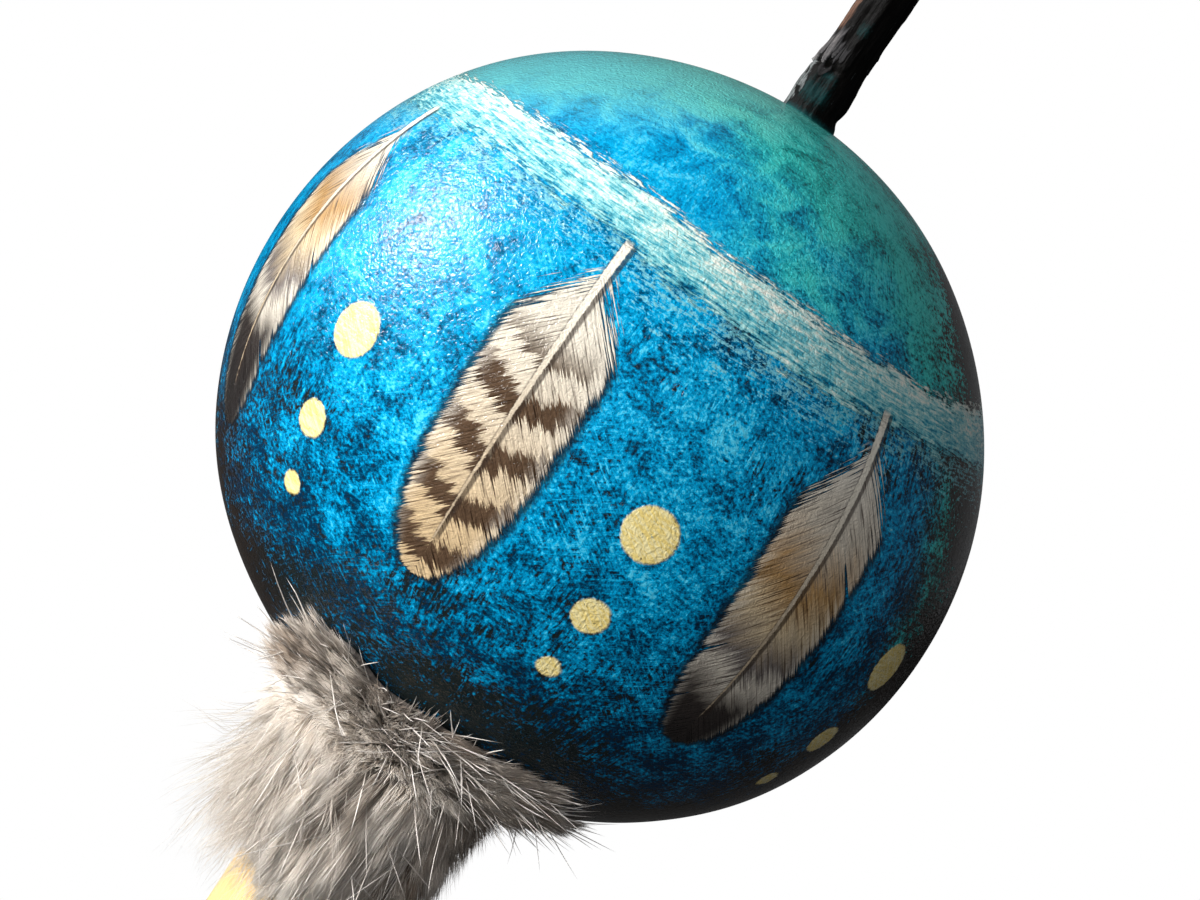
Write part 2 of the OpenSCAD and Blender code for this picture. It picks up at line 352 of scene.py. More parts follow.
def stem_bark():
    s = Shader("dry_stalk")
    flake, rim, silver, copper, teal = map(s.attribute, ("flake", "rim", "silver", "copper", "teal"))
    grain = s.noise(1.0, s.vector(s.x * 3.2, s.y * 3.2, s.z * 0.24), 4.0, 0.65)
    grit = s.noise(0.35, detail=3.0)
    wood = s.mix(grain, (0.0009, 0.0008, 0.0008), (0.0046, 0.0041, 0.0039))
    smear = (teal + grit.swing(0.7) + grain.swing(1.1)).smooth(0.25, 1.05)
    color = s.mix(smear, wood, s.mix(teal.smooth(0.9, 1.3), (0.004, 0.032, 0.034), (0.015, 0.17, 0.16)))
    rust = s.mix(grain.smooth(0.3, 0.7), (0.03, 0.017, 0.013), (0.165, 0.088, 0.06))
    color = s.mix((copper + grain.swing(0.8)).smooth(0.25, 0.75), color, rust)
    streak = grain.swing(2.2) + grit.swing(0.5)
    bark = s.ramp(flake + streak * flake, (0.05, (0.004, 0.0038, 0.004)), (0.3, (0.03, 0.029, 0.031)),
                  (0.62, (0.085, 0.08, 0.083)), (1.0, (0.235, 0.215, 0.213)))
    color = s.mix(flake.smooth(0.03, 0.15), color, bark)
    pale = (grain * 0.75 + grit * 0.25).smooth(0.36, 0.66)
    grey = s.mix(pale, (0.014, 0.018, 0.019), (0.22, 0.235, 0.24))
    # Pale strip on the lower left edge: partly grey bark, partly painted highlight
    color = s.mix((silver + streak * 0.8).smooth(0.3, 0.62), color, grey)
    # Painted highlight on the tongues' lower edges
    color = s.mix((rim + grit.swing(0.5)).smooth(0.3, 0.85), color, (0.23, 0.22, 0.222))
    return s.set(Base_Color=color, Roughness=grain * 0.3 + 0.45, Specular_IOR_Level=0.05,
                 Normal=s.bump(grain * 0.8 + grit * 0.3, 0.25))


def fur_hair(name, dark, light):
    """Hair colours at root, middle and tip, for the darkest and the lightest hairs."""
    s = Shader(name)
    tone, along = s.attribute("tone"), s.attribute("along")
    shades = [s.ramp(along, (0.0, c[0]), (0.42, c[1]), (1.0, c[2])) for c in (dark, light)]
    return s.set(Base_Color=s.mix(tone, *shades), Roughness=0.55, Specular_IOR_Level=0.25,
                 Sheen_Weight=0.25, Sheen_Roughness=0.5, Sheen_Tint=(1.0, 0.93, 0.86))


def pelt_hide():
    s = Shader("pelt")
    tuft = s.noise(0.8, detail=4.0)
    color = s.mix(tuft, (0.075, 0.066, 0.06), (0.2, 0.175, 0.155))
    return s.set(Base_Color=color, Roughness=0.9, Normal=s.bump(tuft, 0.6))


def buckskin():
    s = Shader("buckskin")
    nap = s.noise(0.35, detail=4.0, rough=0.7)
    cloud = s.noise(9.0, detail=3.0)
    pore = s.noise(1.6, warp=1.5)
    edge = s.attribute("edge")
    color = s.mix(cloud * 0.6 + nap * 0.4, (0.74, 0.46, 0.155), (0.94, 0.72, 0.35))
    color = s.mix(pore.smooth(0.55, 0.75) * 0.3, color, (0.55, 0.29, 0.08))
    color = s.mix(edge.smooth(0.76, 1.0) * 0.55, color, (0.4, 0.195, 0.05))
    return s.set(Base_Color=color, Roughness=0.8, Normal=s.bump(nap * 0.7 + pore * 0.6, 0.16),
                 Sheen_Weight=0.35, Sheen_Roughness=0.45, Specular_IOR_Level=0.2)


def thread():
    s = Shader("waxed_thread")
    fibre = s.noise(0.22, s.vector(s.x, s.y, s.z * 2.0), 3.0)
    color = s.mix(fibre, (0.26, 0.17, 0.085), (0.6, 0.46, 0.27))
    return s.set(Base_Color=color, Roughness=0.42, Normal=s.bump(fibre, 0.06))


def stick_wood():
    s = Shader("bare_wood")
    bend = s.noise(14.0)
    rings = ((s.x + bend * 4.0) * 2.4 + s.y * 0.5).sin() * 0.5 + 0.5
    grain = s.noise(1.0, s.vector(s.x * 2.2, s.y * 2.2, s.z * 0.1), 4.0, 0.6)
    pores = s.noise(1.0, s.vector(s.x * 5.5, s.y * 5.5, s.z * 0.35)).smooth(0.6, 0.72)
    color = s.mix(rings * 0.45 + grain * 0.55, (0.36, 0.2, 0.095), (0.7, 0.47, 0.26))
    color = s.mix(pores * 0.55, color, (0.16, 0.08, 0.035))
    worn = (s.z * -1.0 + s.noise(3.0) * 4.0).smooth(57.0, 64.0)
    color = s.mix(worn * 0.5, color, (0.24, 0.135, 0.065))
    return s.set(Base_Color=color, Roughness=grain * 0.2 + 0.38, Normal=s.bump(grain - pores, 0.08))


def putty():
    s = Shader("putty")
    lump = s.noise(2.5, detail=4.0)
    color = s.mix(lump, (0.13, 0.075, 0.042), (0.3, 0.19, 0.11))
    return s.set(Base_Color=color, Roughness=0.7, Normal=s.bump(lump, 0.3))


# Dark and pale shade of each kind of pebble
PEBBLE_SHADES = (((0.16, 0.14, 0.125), (0.46, 0.42, 0.37)),
                 ((0.12, 0.115, 0.115), (0.33, 0.32, 0.31)),
                 ((0.3, 0.19, 0.11), (0.55, 0.42, 0.29)))


def pebble_stone(kind):
    s = Shader(f"pebble_{kind}")
    grit, cloud = s.noise(0.3, detail=3.0), s.noise(2.2, detail=3.0)
    color = s.mix(grit * 0.5 + cloud * 0.5, *PEBBLE_SHADES[kind])
    return s.set(Base_Color=color, Roughness=0.62, Normal=s.bump(grit, 0.05))


# Mesh building, from millimetres

def circle(count):
    """Directions evenly round the axis."""
    return np.linspace(0, math.tau, count, endpoint=False)


def outwards(turn):
    """Level unit vectors away from the axis."""
    return np.stack([np.cos(turn), np.sin(turn), np.zeros(len(turn))], 1)


def place(r, drop, turn):
    """Points at a distance from the axis, below the gourd's middle."""
    return np.stack([r * np.cos(turn), r * np.sin(turn), GOURD_Z - drop], -1)


def clamp(x):
    return np.clip(x, 0, 1)


def new_object(name, data):
    thing = bpy.data.objects.new(name, data)
    bpy.context.scene.collection.objects.link(thing)
    return thing


def make_piece(name, node, material, points, faces, uv):
    """A smooth piece of the body that is held, in the place of one CAD node."""
    mesh = bpy.data.meshes.new(name)
    counts = np.concatenate([np.full(len(f), f.shape[1]) for f in faces])
    corners = np.concatenate([f.ravel() for f in faces])
    mesh.vertices.add(len(points))
    mesh.vertices.foreach_set("co", (points * MM).ravel())
    mesh.loops.add(len(corners))
    mesh.loops.foreach_set("vertex_index", corners.astype(np.int32))
    mesh.polygons.add(len(counts))
    mesh.polygons.foreach_set("loop_start", (np.cumsum(counts) - counts).astype(np.int32))
    mesh.polygons.foreach_set("use_smooth", np.full(len(counts), True))
    mesh.update(calc_edges=True)
    mesh.uv_layers.new(name="OFBake").data.foreach_set("uv", uv.ravel())
    mesh.materials.append(material)
    piece = new_object(name, mesh)
    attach(piece, "rattle")
    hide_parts(node)
    return piece


def ring_faces(rows, cols, start=0, flip=False):
    """Quads between rings of points, and their corners as fractions round and along."""
    i, j = np.meshgrid(np.arange(rows - 1), np.arange(cols), indexing="ij")
    i, j = i.ravel(), j.ravel()
    k = (j + 1) % cols
    quads = np.stack([i * cols + j, i * cols + k, (i + 1) * cols + k, (i + 1) * cols + j], 1) + start
    u = np.stack([j, j + 1, j + 1, j], 1) / cols
    v = np.stack([i, i, i + 1, i + 1], 1) / (rows - 1)
    uv = np.stack([u, v], 2)
    return (quads[:, ::-1], uv[:, ::-1]) if flip else (quads, uv)


def tube_faces(rows, cols, start=0, flip=False):
    """Faces of a tube of rings with both ends closed, and their corners' places in the UV map."""
    quads, uv = ring_faces(rows, cols, start, flip)
    ring = np.arange(cols)
    ends = np.stack([ring[::-1], (rows - 1) * cols + ring]) + start
    if flip:
        ends = ends[:, ::-1]
    return [quads, ends], np.concatenate([uv.reshape(-1, 2), np.full((2 * cols, 2), 0.5)])


def add_value(piece, name, values):
    layer = piece.data.attributes.new(name, "FLOAT", "POINT")
    layer.data.foreach_set("value", np.asarray(values, np.float32))


def wave(knots, x):
    """Smooth curve through (place, value) knots."""
    knots, x = np.asarray(knots, float), np.asarray(x, float)
    k = np.clip(np.searchsorted(knots[:, 0], x) - 1, 0, len(knots) - 2)
    slope = np.gradient(knots[:, 1], knots[:, 0])
    x0, x1, y0, y1 = knots[k, 0], knots[k + 1, 0], knots[k, 1], knots[k + 1, 1]
    h = x1 - x0
    t = clamp((x - x0) / h)
    return ((2 * t**3 - 3 * t**2 + 1) * y0 + (t**3 - 2 * t**2 + t) * h * slope[k]
            + (-2 * t**3 + 3 * t**2) * y1 + (t**3 - t**2) * h * slope[k + 1])


# Gourd: a hollow shell, a little fuller on one side

# Sideways lean and added girth in millimetres, at degrees from the stalk
GOURD_LEAN = ((0, 0), (20, -0.15), (40, -0.6), (75, 0.0), (110, 0.7), (135, 1.15), (150, 1.5),
              (162, 0.9), (172, 0.0))
GOURD_FULL = ((0, 0), (60, -0.15), (90, -0.15), (110, 0.15), (128, 0.4), (142, -0.2), (152, -0.7),
              (164, -0.4), (172, 0))


def build_gourd():
    rows, rows_in, cols = 190, 60, 320
    hole_r = STICK_R + 0.05
    polar = np.linspace(0.004, math.pi - math.asin(hole_r / GOURD_A), rows)
    turn = circle(cols)
    t, a = np.meshgrid(polar, turn, indexing="ij")
    lean, full = wave(GOURD_LEAN, np.degrees(t)), wave(GOURD_FULL, np.degrees(t))
    lump = 0.22 * np.sin(2 * a + 0.8) * np.sin(t) ** 2 * np.cos(2 * t)
    lump += 0.16 * np.sin(3 * a - 1.1 + 2 * t) * np.sin(t) ** 2
    r = GOURD_A * np.sin(t) + full + lump
    outer = np.stack([r * np.cos(a) + lean, r * np.sin(a), GOURD_Z + GOURD_B * np.cos(t)], 2)
    in_a, in_b = GOURD_A - WALL, GOURD_B - WALL
    polar = np.linspace(math.pi - math.asin(hole_r / in_a), 0.004, rows_in)
    t, a = np.meshgrid(polar, turn, indexing="ij")
    inner = place(in_a * np.sin(t), -in_b * np.cos(t), a)
    points = np.concatenate([outer, inner]).reshape(-1, 3)
    # Rings run down from the stalk, so the faces are flipped to look outwards
    faces, uv = tube_faces(rows + rows_in, cols, flip=True)
    make_piece("gourd_shell_painted", "gourd_shell", gourd_paint(), points, faces, uv)


# Stalk: ribs, a knuckle near the foot and torn bark

def cloud(points, size, seed, octaves=3):
    """Fractal noise at points, in lumps of a size."""
    shift = Vector((seed, seed * 0.7, seed * 1.3))
    return np.array([mnoise.fractal(Vector(p) / size + shift, 1.0, 2.0, octaves) for p in points])


# Thickness and sideways lean of the stalk at heights above its foot, in millimetres
STEM_GIRTH = ((0, 5.0), (1.5, 4.75), (5, 4.72), (8, 4.5), (11, 4.3), (15, 4.2), (22, 4.15), (40, 4.0))
STEM_LEAN = ((0, -0.3), (3, -0.6), (8, -0.65), (12, -0.85), (15, -0.75), (22, -0.6), (40, 0.3))
# Tongues of torn bark: direction and half width in degrees, lower and upper end in millimetres, paleness
BARK = ((193, 14, 8.3, 12.6, 0.8), (210, 7, 10.0, 14.6, 0.5), (228, 8, 8.8, 16.2, 0.6),
        (242, 6, 10.3, 14.0, 0.42), (250, 5, 9.6, 13.2, 0.25), (263, 7, 10.0, 13.2, 0.24),
        (279, 9, 9.6, 14.5, 0.08), (238, 14, 6.9, 8.9, 0.16), (312, 12, 13.0, 20.0, 0.05),
        (345, 13, 11.0, 18.0, 0.08), (20, 14, 13.0, 21.0, 0.45), (52, 12, 10.0, 17.0, 0.6),
        (84, 13, 12.0, 20.0, 0.4), (118, 12, 9.5, 16.5, 0.65), (150, 13, 11.5, 19.0, 0.45),
        (70, 15, 22.0, 30.0, 0.5), (215, 12, 24.0, 31.0, 0.35))


def build_stem():
    rows, tip_rows, cols = 270, 8, 176
    turn = circle(cols)
    t, a = np.meshgrid(np.linspace(0, 1, rows), turn, indexing="ij")
    height = t * STEM_LEN
    unit = np.stack([np.cos(a) * STEM_R, np.sin(a) * STEM_R, height], 2).reshape(-1, 3)
    grain = cloud(unit * (1, 1, 0.14), 0.9, 3.0).reshape(t.shape)
    lumps = cloud(unit, 5.5, 9.0).reshape(t.shape)
    ragged = cloud(unit * (1, 1, 0.5), 1.3, 5.0, 4).reshape(t.shape)

    def facing(degrees):
        return np.cos(a - math.radians(degrees))

    def rise(value, low, high):
        f = clamp((value - low) / (high - low))
        return f * f * (3 - 2 * f)

    # Bark left in tongues with round lower ends, thin towards the top
    flake, rim, raised = np.zeros_like(t), np.zeros_like(t), np.zeros_like(t)
    for degrees, half, low, high, pale in BARK:
        u = np.degrees(np.arccos(np.clip(facing(degrees), -1, 1))) / half + ragged * 0.25
        above = height - low - 1.5 * u * u + ragged * 0.5
        lasts = 1 - clamp(above / (high - low))
        inside = rise(1.05 - u, 0, 0.25) * rise(above, 0, 0.25) * rise(lasts, 0, 0.35)
        flake = np.maximum(flake, inside * pale)
        raised = np.maximum(raised, inside * (0.35 + 0.65 * lasts) * min(1.0, 0.25 + pale))
        # A painted highlight along the round lower edge of each tongue
        rim = np.maximum(rim, inside * np.exp(-(above / 0.5) ** 2) * min(1.0, pale * 1.4))
    bared = rise(facing(228), 0.55, 0.85)
    notch = np.exp(-((height - 8.9) / 0.6) ** 2) * bared * (1 - raised)
    # A pale strip down the lower left edge, which faces the lamps: partly grey bark, partly painted
    # highlight
    strip = rise(facing(184) + ragged * 0.16 + 0.13 * np.exp(-((height - 5.2) / 1.1) ** 2), 0.885, 0.965)
    silver = strip * rise(9.3 - height + ragged, 0, 1.2)
    copper = rise(facing(184) + ragged * 0.1, 0.72, 0.9) * rise(height, 12.5, 19) * (1 - raised)
    smudge = np.exp(-((height - 4.2) / 2.6) ** 2) * rise(facing(250), 0.6, 1.0)
    smudge += 0.8 * np.exp(-((height - 17) / 2.0) ** 2) * rise(facing(266), 0.92, 1.0)
    smudge += 0.7 * np.exp(-((height - 7.8) / 1.0) ** 2) * rise(facing(255), 0.8, 1.0)
    teal = np.clip(smudge * 0.75, 0, 0.85) + 1.3 * np.exp(-(height / 0.9) ** 2)

    pinch = -0.4 * np.exp(-((height - 2.1) / 1.0) ** 2) * clamp(np.cos(a))
    ribs = 0.15 * np.cos(5 * a + 0.9 * t) + 0.08 * np.cos(9 * a + 1.3)
    r = wave(STEM_GIRTH, height) + pinch + ribs * np.clip(t * 8, 0.2, 1) + 0.15 * grain + 0.18 * lumps
    r = r + 0.42 * raised - 0.45 * notch + 0.18 * silver
    slant = 1.4 * t**6
    # The foot sinks just under the gourd's paint
    z = SCAR_Z + height + slant * np.cos(a) + 0.9 * grain * clamp(t * 30 - 29)
    z -= 0.5 * clamp(1 - t * 40)
    side = np.stack([wave(STEM_LEAN, height) + r * np.cos(a), r * np.sin(a), z], 2).reshape(-1, 3)
    tips = []
    last = side[-cols:]
    middle = last.mean(0)
    for k in range(1, tip_rows):
        f = 1 - k / tip_rows
        ring = middle + (last - middle) * f
        ring[:, 2] += 0.5 * cloud(ring, 0.7, 2.0) - 0.7 * (1 - f)
        tips.append(ring)
    points = np.concatenate([side] + tips)
    faces, uv = tube_faces(rows + tip_rows - 1, cols)
    piece = make_piece("gourd_stem_bark", "gourd_stem", stem_bark(), points, faces, uv)
    broken = np.zeros(len(points) - len(side))
    for name, values in (("flake", flake), ("rim", rim), ("silver", silver), ("teal", teal)):
        add_value(piece, name, np.concatenate([values.ravel(), broken]))
    add_value(piece, "copper", np.concatenate([copper.ravel(), broken + 0.55]))


# Leather strip, wound butt to butt with soft edges

def build_wrap():
    seat = 0.04
    turns = (WRAP_HIGH - WRAP_LOW + STRIP_W - 1.6) / PITCH
    steps = int(turns * 72)
    across = np.concatenate([[0.0, 0.012, 0.035, 0.07], np.linspace(0.13, 0.87, 11),
                             [0.93, 0.965, 0.988, 1.0]])
    lift = np.array([0.55, 0.8, 0.93, 0.985] + [1.0] * 11 + [0.985, 0.93, 0.8, 0.55])
    turn = np.linspace(0, turns, steps)
    low = WRAP_LOW + PITCH * turn - STRIP_W + 0.8
    wander = 0.16 * np.sin(turn * 2 * math.pi * 0.37 + 0.6) + 0.1 * np.sin(turn * 2 * math.pi * 1.3)
    lo = np.maximum(low - 0.1 + wander, WRAP_LOW)
    hi = np.minimum(low + STRIP_W + 0.1 + wander, WRAP_HIGH)
    edge = np.append(np.abs(across - 0.5) * 2, [1, 1])
    rows = []
    for i in range(steps):
        z = lo[i] + (hi[i] - lo[i]) * across
        bulge = 0.1 * np.sin(across * math.pi) + 0.05 * np.sin(turn[i] * 21 + across * 5)
        r = STICK_R + seat + (WRAP_R - STICK_R - seat) * lift + bulge - seat
        ang = math.tau * turn[i] + math.pi
        # The last two corners lie on the stick
        r, z = np.append(r, [STICK_R + seat] * 2), np.append(z, z[[-1, 0]])
        rows.append(np.stack([r * math.cos(ang), r * math.sin(ang), z], 1))
    faces, uv = tube_faces(steps, len(edge), flip=True)
    points = np.concatenate(rows)
    piece = make_piece("leather_wrap", "handle_wrap", buckskin(), points, faces, uv)
    add_value(piece, "edge", np.tile(edge, steps))


# Lashing of two twisted plies

def build_lashing(name, node, z):
    centre_r = WRAP_R + THREAD_R + 0.15
    n, sides = THREAD_TURNS * 260, 7
    ang = np.linspace(0, THREAD_TURNS * 2 * math.pi, n)
    way = outwards(ang)
    up = np.array([0, 0, 1.0])
    height = z + THREAD_R + THREAD_PITCH * ang / math.tau
    centre = way * centre_r + height[:, None] * up
    twist = ang * centre_r / HALF_TWIST * math.pi
    points, faces, uvs = [], [], []
    for ply in (0, math.pi):
        core = centre + PLY_OFF * (np.cos(twist + ply)[:, None] * way + np.sin(twist + ply)[:, None] * up)
        rings = [core + PLY_R * (math.cos(b) * way + math.sin(b) * up) for b in circle(sides)]
        ply_faces, uv = tube_faces(n, sides, len(points) * n * sides, True)
        points.append(np.stack(rings, 1).reshape(-1, 3))
        faces += ply_faces
        uvs.append(uv)
    make_piece(name, node, thread(), np.concatenate(points), faces, np.concatenate(uvs))


# Fur: a hide, soft under hair that falls in locks, and pale guard hairs

def toward_front(turn):
    return -np.sin(turn)


# Reach of the coat over the gourd: direction in degrees and distance from the axis in millimetres
FUR_REACH = ((0, 30.2), (90, 27.6), (180, 24.6), (200, 25.6), (224, 34.8), (240, 44.0), (252, 48.6),
             (262, 45.0), (272, 44.2), (287, 44.6), (303, 44.0), (320, 38.2), (342, 33.2), (360, 30.2))
# The hide's waist under the gourd, and the hair that hangs past the hide's lower edge, in millimetres
WAIST_R, WAIST_DROP, HEM = 18.6, 63.0, 6.3


def fur_reach(turn):
    """How far from the axis the coat lies on the gourd: further on the front than behind."""
    return wave(FUR_REACH, np.degrees(turn) % 360) + 0.6 * np.sin(5 * turn + 1.0) + 0.5 * np.sin(11 * turn)


def hide_top(turn):
    """Upper edge of the hide, which the outermost hairs overhang."""
    return fur_reach(turn) - 4.6 + 2.4 * clamp(toward_front(turn))


def fur_end(turn):
    """How far below the gourd's middle the coat ends."""
    return 91.6 + 1.8 * toward_front(turn) + 1.2 * np.cos(turn)


def fur_full(turn, d):
    """How thick the falling coat is: fullest on the front, a waist under the gourd."""
    low = clamp((d - 67) / 13)
    low = low * low * (3 - 2 * low)
    return 4.6 + low * (-0.3 + 0.8 * toward_front(turn) + 0.5 * np.sin(3 * turn))


def gourd_drop(r):
    return GOURD_B * np.sqrt(clamp(1 - (np.asarray(r) / GOURD_A) ** 2))


def hide_point(turn, s):
    """Distance from the axis and drop on the hide; s runs 0 to 1 on the gourd and 1 to 2 down the neck."""
    top = hide_top(turn)
    on = clamp(s)
    r_on = top + (WAIST_R - top) * on
    d_on = gourd_drop(r_on) + 0.8 + 1.4 * on**3
    f = clamp(s - 1)
    d_neck = WAIST_DROP + (fur_end(turn) - HEM - WAIST_DROP) * f
    r_neck = wave(((0, WAIST_R), (0.12, 16.4), (0.3, 15.3), (0.6, 15.3), (0.85, 14.8), (1.0, 13.4)), f)
    return np.where(s <= 1, r_on, r_neck), np.where(s <= 1, d_on, d_neck)


def build_hide():
    cols = 160
    turn = circle(cols)
    rows = [place(*hide_point(turn, np.full(cols, s)), turn) for s in np.linspace(0, 2, 80)]
    for r, up in ((12.15, 0.0), (12.15, 8.0), (13.5, 9.0), (13.5, 24.0), (16.2, 29.5)):
        rows.append(place(r, fur_end(turn) - HEM - up, turn))
    top_r = hide_top(turn)
    rows.append(place(top_r * 0.75, gourd_drop(top_r * 0.75) + 0.15, turn))
    rows.append(place(top_r, gourd_drop(top_r) + 0.15, turn))
    rows.append(rows[0])
    skin, uv = ring_faces(len(rows), cols, flip=True)
    make_piece("fur_hide", "fur_collar", pelt_hide(), np.concatenate(rows), [skin], uv)


def strand_mesh(name, paths, width, tone, material, belly=0.0):
    """Three-sided tapered hairs along paths of shape (hairs, points, 3)."""
    n, k = paths.shape[:2]
    along = np.linspace(0, 1, k)
    step = np.gradient(paths, axis=1)
    step /= np.linalg.norm(step, axis=2, keepdims=True) + 1e-9
    ref = np.where(np.abs(step[:, :, 2:3]) > 0.9, np.array([1.0, 0, 0]), np.array([0, 0, 1.0]))
    u = np.cross(step, ref)
    u /= np.linalg.norm(u, axis=2, keepdims=True) + 1e-9
    v = np.cross(step, u)
    taper = (1 - along) ** 0.7 + belly * np.sin(np.pi * along)
    taper = np.maximum(taper, 0.05)
    r = width[:, None] * taper[None]
    spin = rng.uniform(0, math.tau, n)[:, None, None]
    ring = []
    for c in range(3):
        b = spin + c * 2 * math.pi / 3
        ring.append(paths + r[:, :, None] * (np.cos(b) * u + np.sin(b) * v))
    body = np.stack(ring, 2)[:, :k - 1].reshape(n, -1, 3)
    points = np.concatenate([body, paths[:, -1:]], 1)
    per = points.shape[1]
    tri, uvt = [], []
    for i in range(k - 2):
        for c in range(3):
            e = (c + 1) % 3
            a, b, f, g = i * 3 + c, i * 3 + e, (i + 1) * 3 + e, (i + 1) * 3 + c
            tri += [[a, b, f], [a, f, g]]
            uvt += [[(c, i), (c + 1, i), (c + 1, i + 1)], [(c, i), (c + 1, i + 1), (c, i + 1)]]
    for c in range(3):
        e = (c + 1) % 3
        tri.append([(k - 2) * 3 + c, (k - 2) * 3 + e, per - 1])
        uvt.append([(c, k - 2), (c + 1, k - 2), (c + 0.5, k - 1)])
    tri.append([2, 1, 0])
    uvt.append([(0, 0), (1, 0), (0.5, 0.05)])
    tri, uvt = np.array(tri), np.array(uvt, float)
    faces = (tri[None] + (np.arange(n) * per)[:, None, None]).reshape(-1, 3)
    uv = np.empty((n, len(tri), 3, 2))
    uv[..., 0] = 0.02 + 0.95 * clamp(tone)[:, None, None] + 0.004 * uvt[None, :, :, 0]
    uv[..., 1] = 0.02 + 0.96 * uvt[None, :, :, 1] / (k - 1)
    piece = make_piece(name, "fur_collar", material, points.reshape(-1, 3), [faces], uv)
    add_value(piece, "tone", np.repeat(tone, per))
    level = np.concatenate([np.repeat(along[:k - 1], 3), [1.0]])
    add_value(piece, "along", np.tile(level, n))


def coat_hairs(turn, s, gen, scatter, stretch, sway=0.0):
    """Root, knee and tip of hairs, which lie outwards over the gourd, stand at the waist and fall below."""
    n = len(turn)
    r0, d0 = hide_point(turn, s)
    out = outwards(turn)
    round_ = out[:, (1, 0, 2)] * (-1, 1, 1)
    down = np.array([0.0, 0.0, -1.0])
    root = place(r0, d0, turn)
    # Over the gourd: along its skin, away from the neck
    slope = np.stack([-r0 / GOURD_A**2, d0 / GOURD_B**2], 1)
    slope /= np.linalg.norm(slope, axis=1, keepdims=True)
    away = -slope[:, :1] * out + slope[:, 1:] * down
    skin = slope[:, 1:] * out + slope[:, :1] * down
    front, right = clamp(toward_front(turn)), clamp(np.cos(turn))
    lift = 9 + (44 - 20 * front) * clamp(s - 0.3) ** 1.3 * (1 - 0.4 * right)
    lift = np.radians(lift + gen.normal(0, 7, n))
    lie_on = np.cos(lift)[:, None] * skin + np.sin(lift)[:, None] * away
    len_on = gen.uniform(5.6, 9.2, n) * (0.52 + 0.14 * clamp(0.5 + 0.5 * np.cos(turn)) + 0.22 * front)
    # Down the neck: outwards at the waist, then more and more along it
    full = fur_full(turn, d0)
    f = clamp(s - 1)
    lean = wave(((0, 58), (0.16, 41), (0.35, 30), (0.7, 24), (1.0, 20)), f) * (0.62 + 0.055 * full)
    lean = np.radians(lean + gen.normal(0, 6, n))
    lie_down = np.sin(lean)[:, None] * out + np.cos(lean)[:, None] * down
    len_down = wave(((0, 12.5), (0.2, 16.5), (0.5, 17.0), (0.8, 12.0), (1.0, 7.8)), f)
    len_down *= 0.48 + 0.072 * full
    len_down *= 1 - 0.26 * np.cos(turn) ** 2 - 0.1 * right
    len_down *= gen.uniform(0.72, 1.12, n)
    neck = (s > 1)[:, None]
    swirl = np.sin(2 * turn + math.radians(25))
    swirl = np.where(s > 1, np.where(swirl > 0, 0.74, 0.42) * swirl, -0.62 * np.sin(2 * turn))
    swirl += 0.14 * np.sin(5 * turn + d0 * 0.3) + gen.normal(0, scatter, n)
    lie = np.where(neck, lie_down, lie_on) + round_ * swirl[:, None]
    lie += gen.normal(0, scatter * 0.5, (n, 3)) + sway
    lie /= np.linalg.norm(lie, axis=1, keepdims=True)
    length = np.where(s > 1, len_down, len_on) * stretch
    settle = np.where(neck, lie + 0.55 * down, lie + 0.35 * skin)
    settle /= np.linalg.norm(settle, axis=1, keepdims=True)
    knee = root + 0.5 * length[:, None] * lie
    tip = knee + 0.55 * length[:, None] * settle
    return root, knee, tip


def clear_gourd(points, gap):
    """Moves points out of the gourd."""
    middle = np.array([0, 0, GOURD_Z])
    reach = np.array([GOURD_A + gap + 0.8, GOURD_A + gap + 0.8, GOURD_B + gap])
    far = np.linalg.norm((points - middle) / reach, axis=-1, keepdims=True)
    return middle + (points - middle) * np.maximum(1, 1 / far)


def bend(start, knee, end, k):
    t = np.linspace(0, 1, k)[None, :, None]
    return (1 - t) ** 2 * start[:, None] + 2 * t * (1 - t) * knee[:, None] + t**2 * end[:, None]


def nearest(points, seeds):
    """Index of the seed next to each point, in cells that are longer along the axis."""
    own, squeeze, chunk = np.empty(len(points), int), (1.0, 1.0, 0.55), 4000
    for i in range(0, len(points), chunk):
        own[i:i + chunk] = (((points[i:i + chunk, None] - seeds[None]) * squeeze) ** 2).sum(2).argmin(1)
    return own


def spread_turns(gen, n):
    """Directions round the neck, denser on the front, where the coat is longer."""
    turn = gen.uniform(0, math.tau, 3 * n)
    keep = gen.random(3 * n) < (0.55 + 0.45 * clamp(toward_front(turn) + 0.2))
    return turn[keep][:n]


def scatter_roots(gen, n, low, high):
    turn = gen.uniform(0, math.tau, n) if low >= 1 else spread_turns(gen, n)
    s = low + (high - low) * gen.random(n)
    return turn, s, place(*hide_point(turn, s), turn)


# Hairs in one piece of the coat
HAIRS = 11000
# Pale and dark patches, partly painted light and shade: direction and half width in degrees, place and half
# length down the hide, paleness
FUR_TONE_AND_LIGHT_PATCHES = ((238, 20, 0.28, 0.22, -0.46), (267, 14, 0.36, 0.18, 0.26), (286, 9, 0.48, 0.14, -0.18),
               (300, 20, 0.45, 0.3, -0.14), (214, 14, 1.02, 0.16, 0.22), (247, 15, 1.06, 0.1, -0.22),
               (246, 14, 1.29, 0.11, -0.45), (277, 11, 1.1, 0.12, -0.44), (295, 10, 1.04, 0.12, 0.7),
               (309, 10, 1.17, 0.13, 0.6), (271, 10, 1.36, 0.11, -0.44), (286, 12, 1.53, 0.14, 0.4),
               (312, 14, 1.55, 0.14, 0.16), (264, 24, 1.7, 0.18, 0.45), (334, 18, 1.0, 0.35, -0.3))


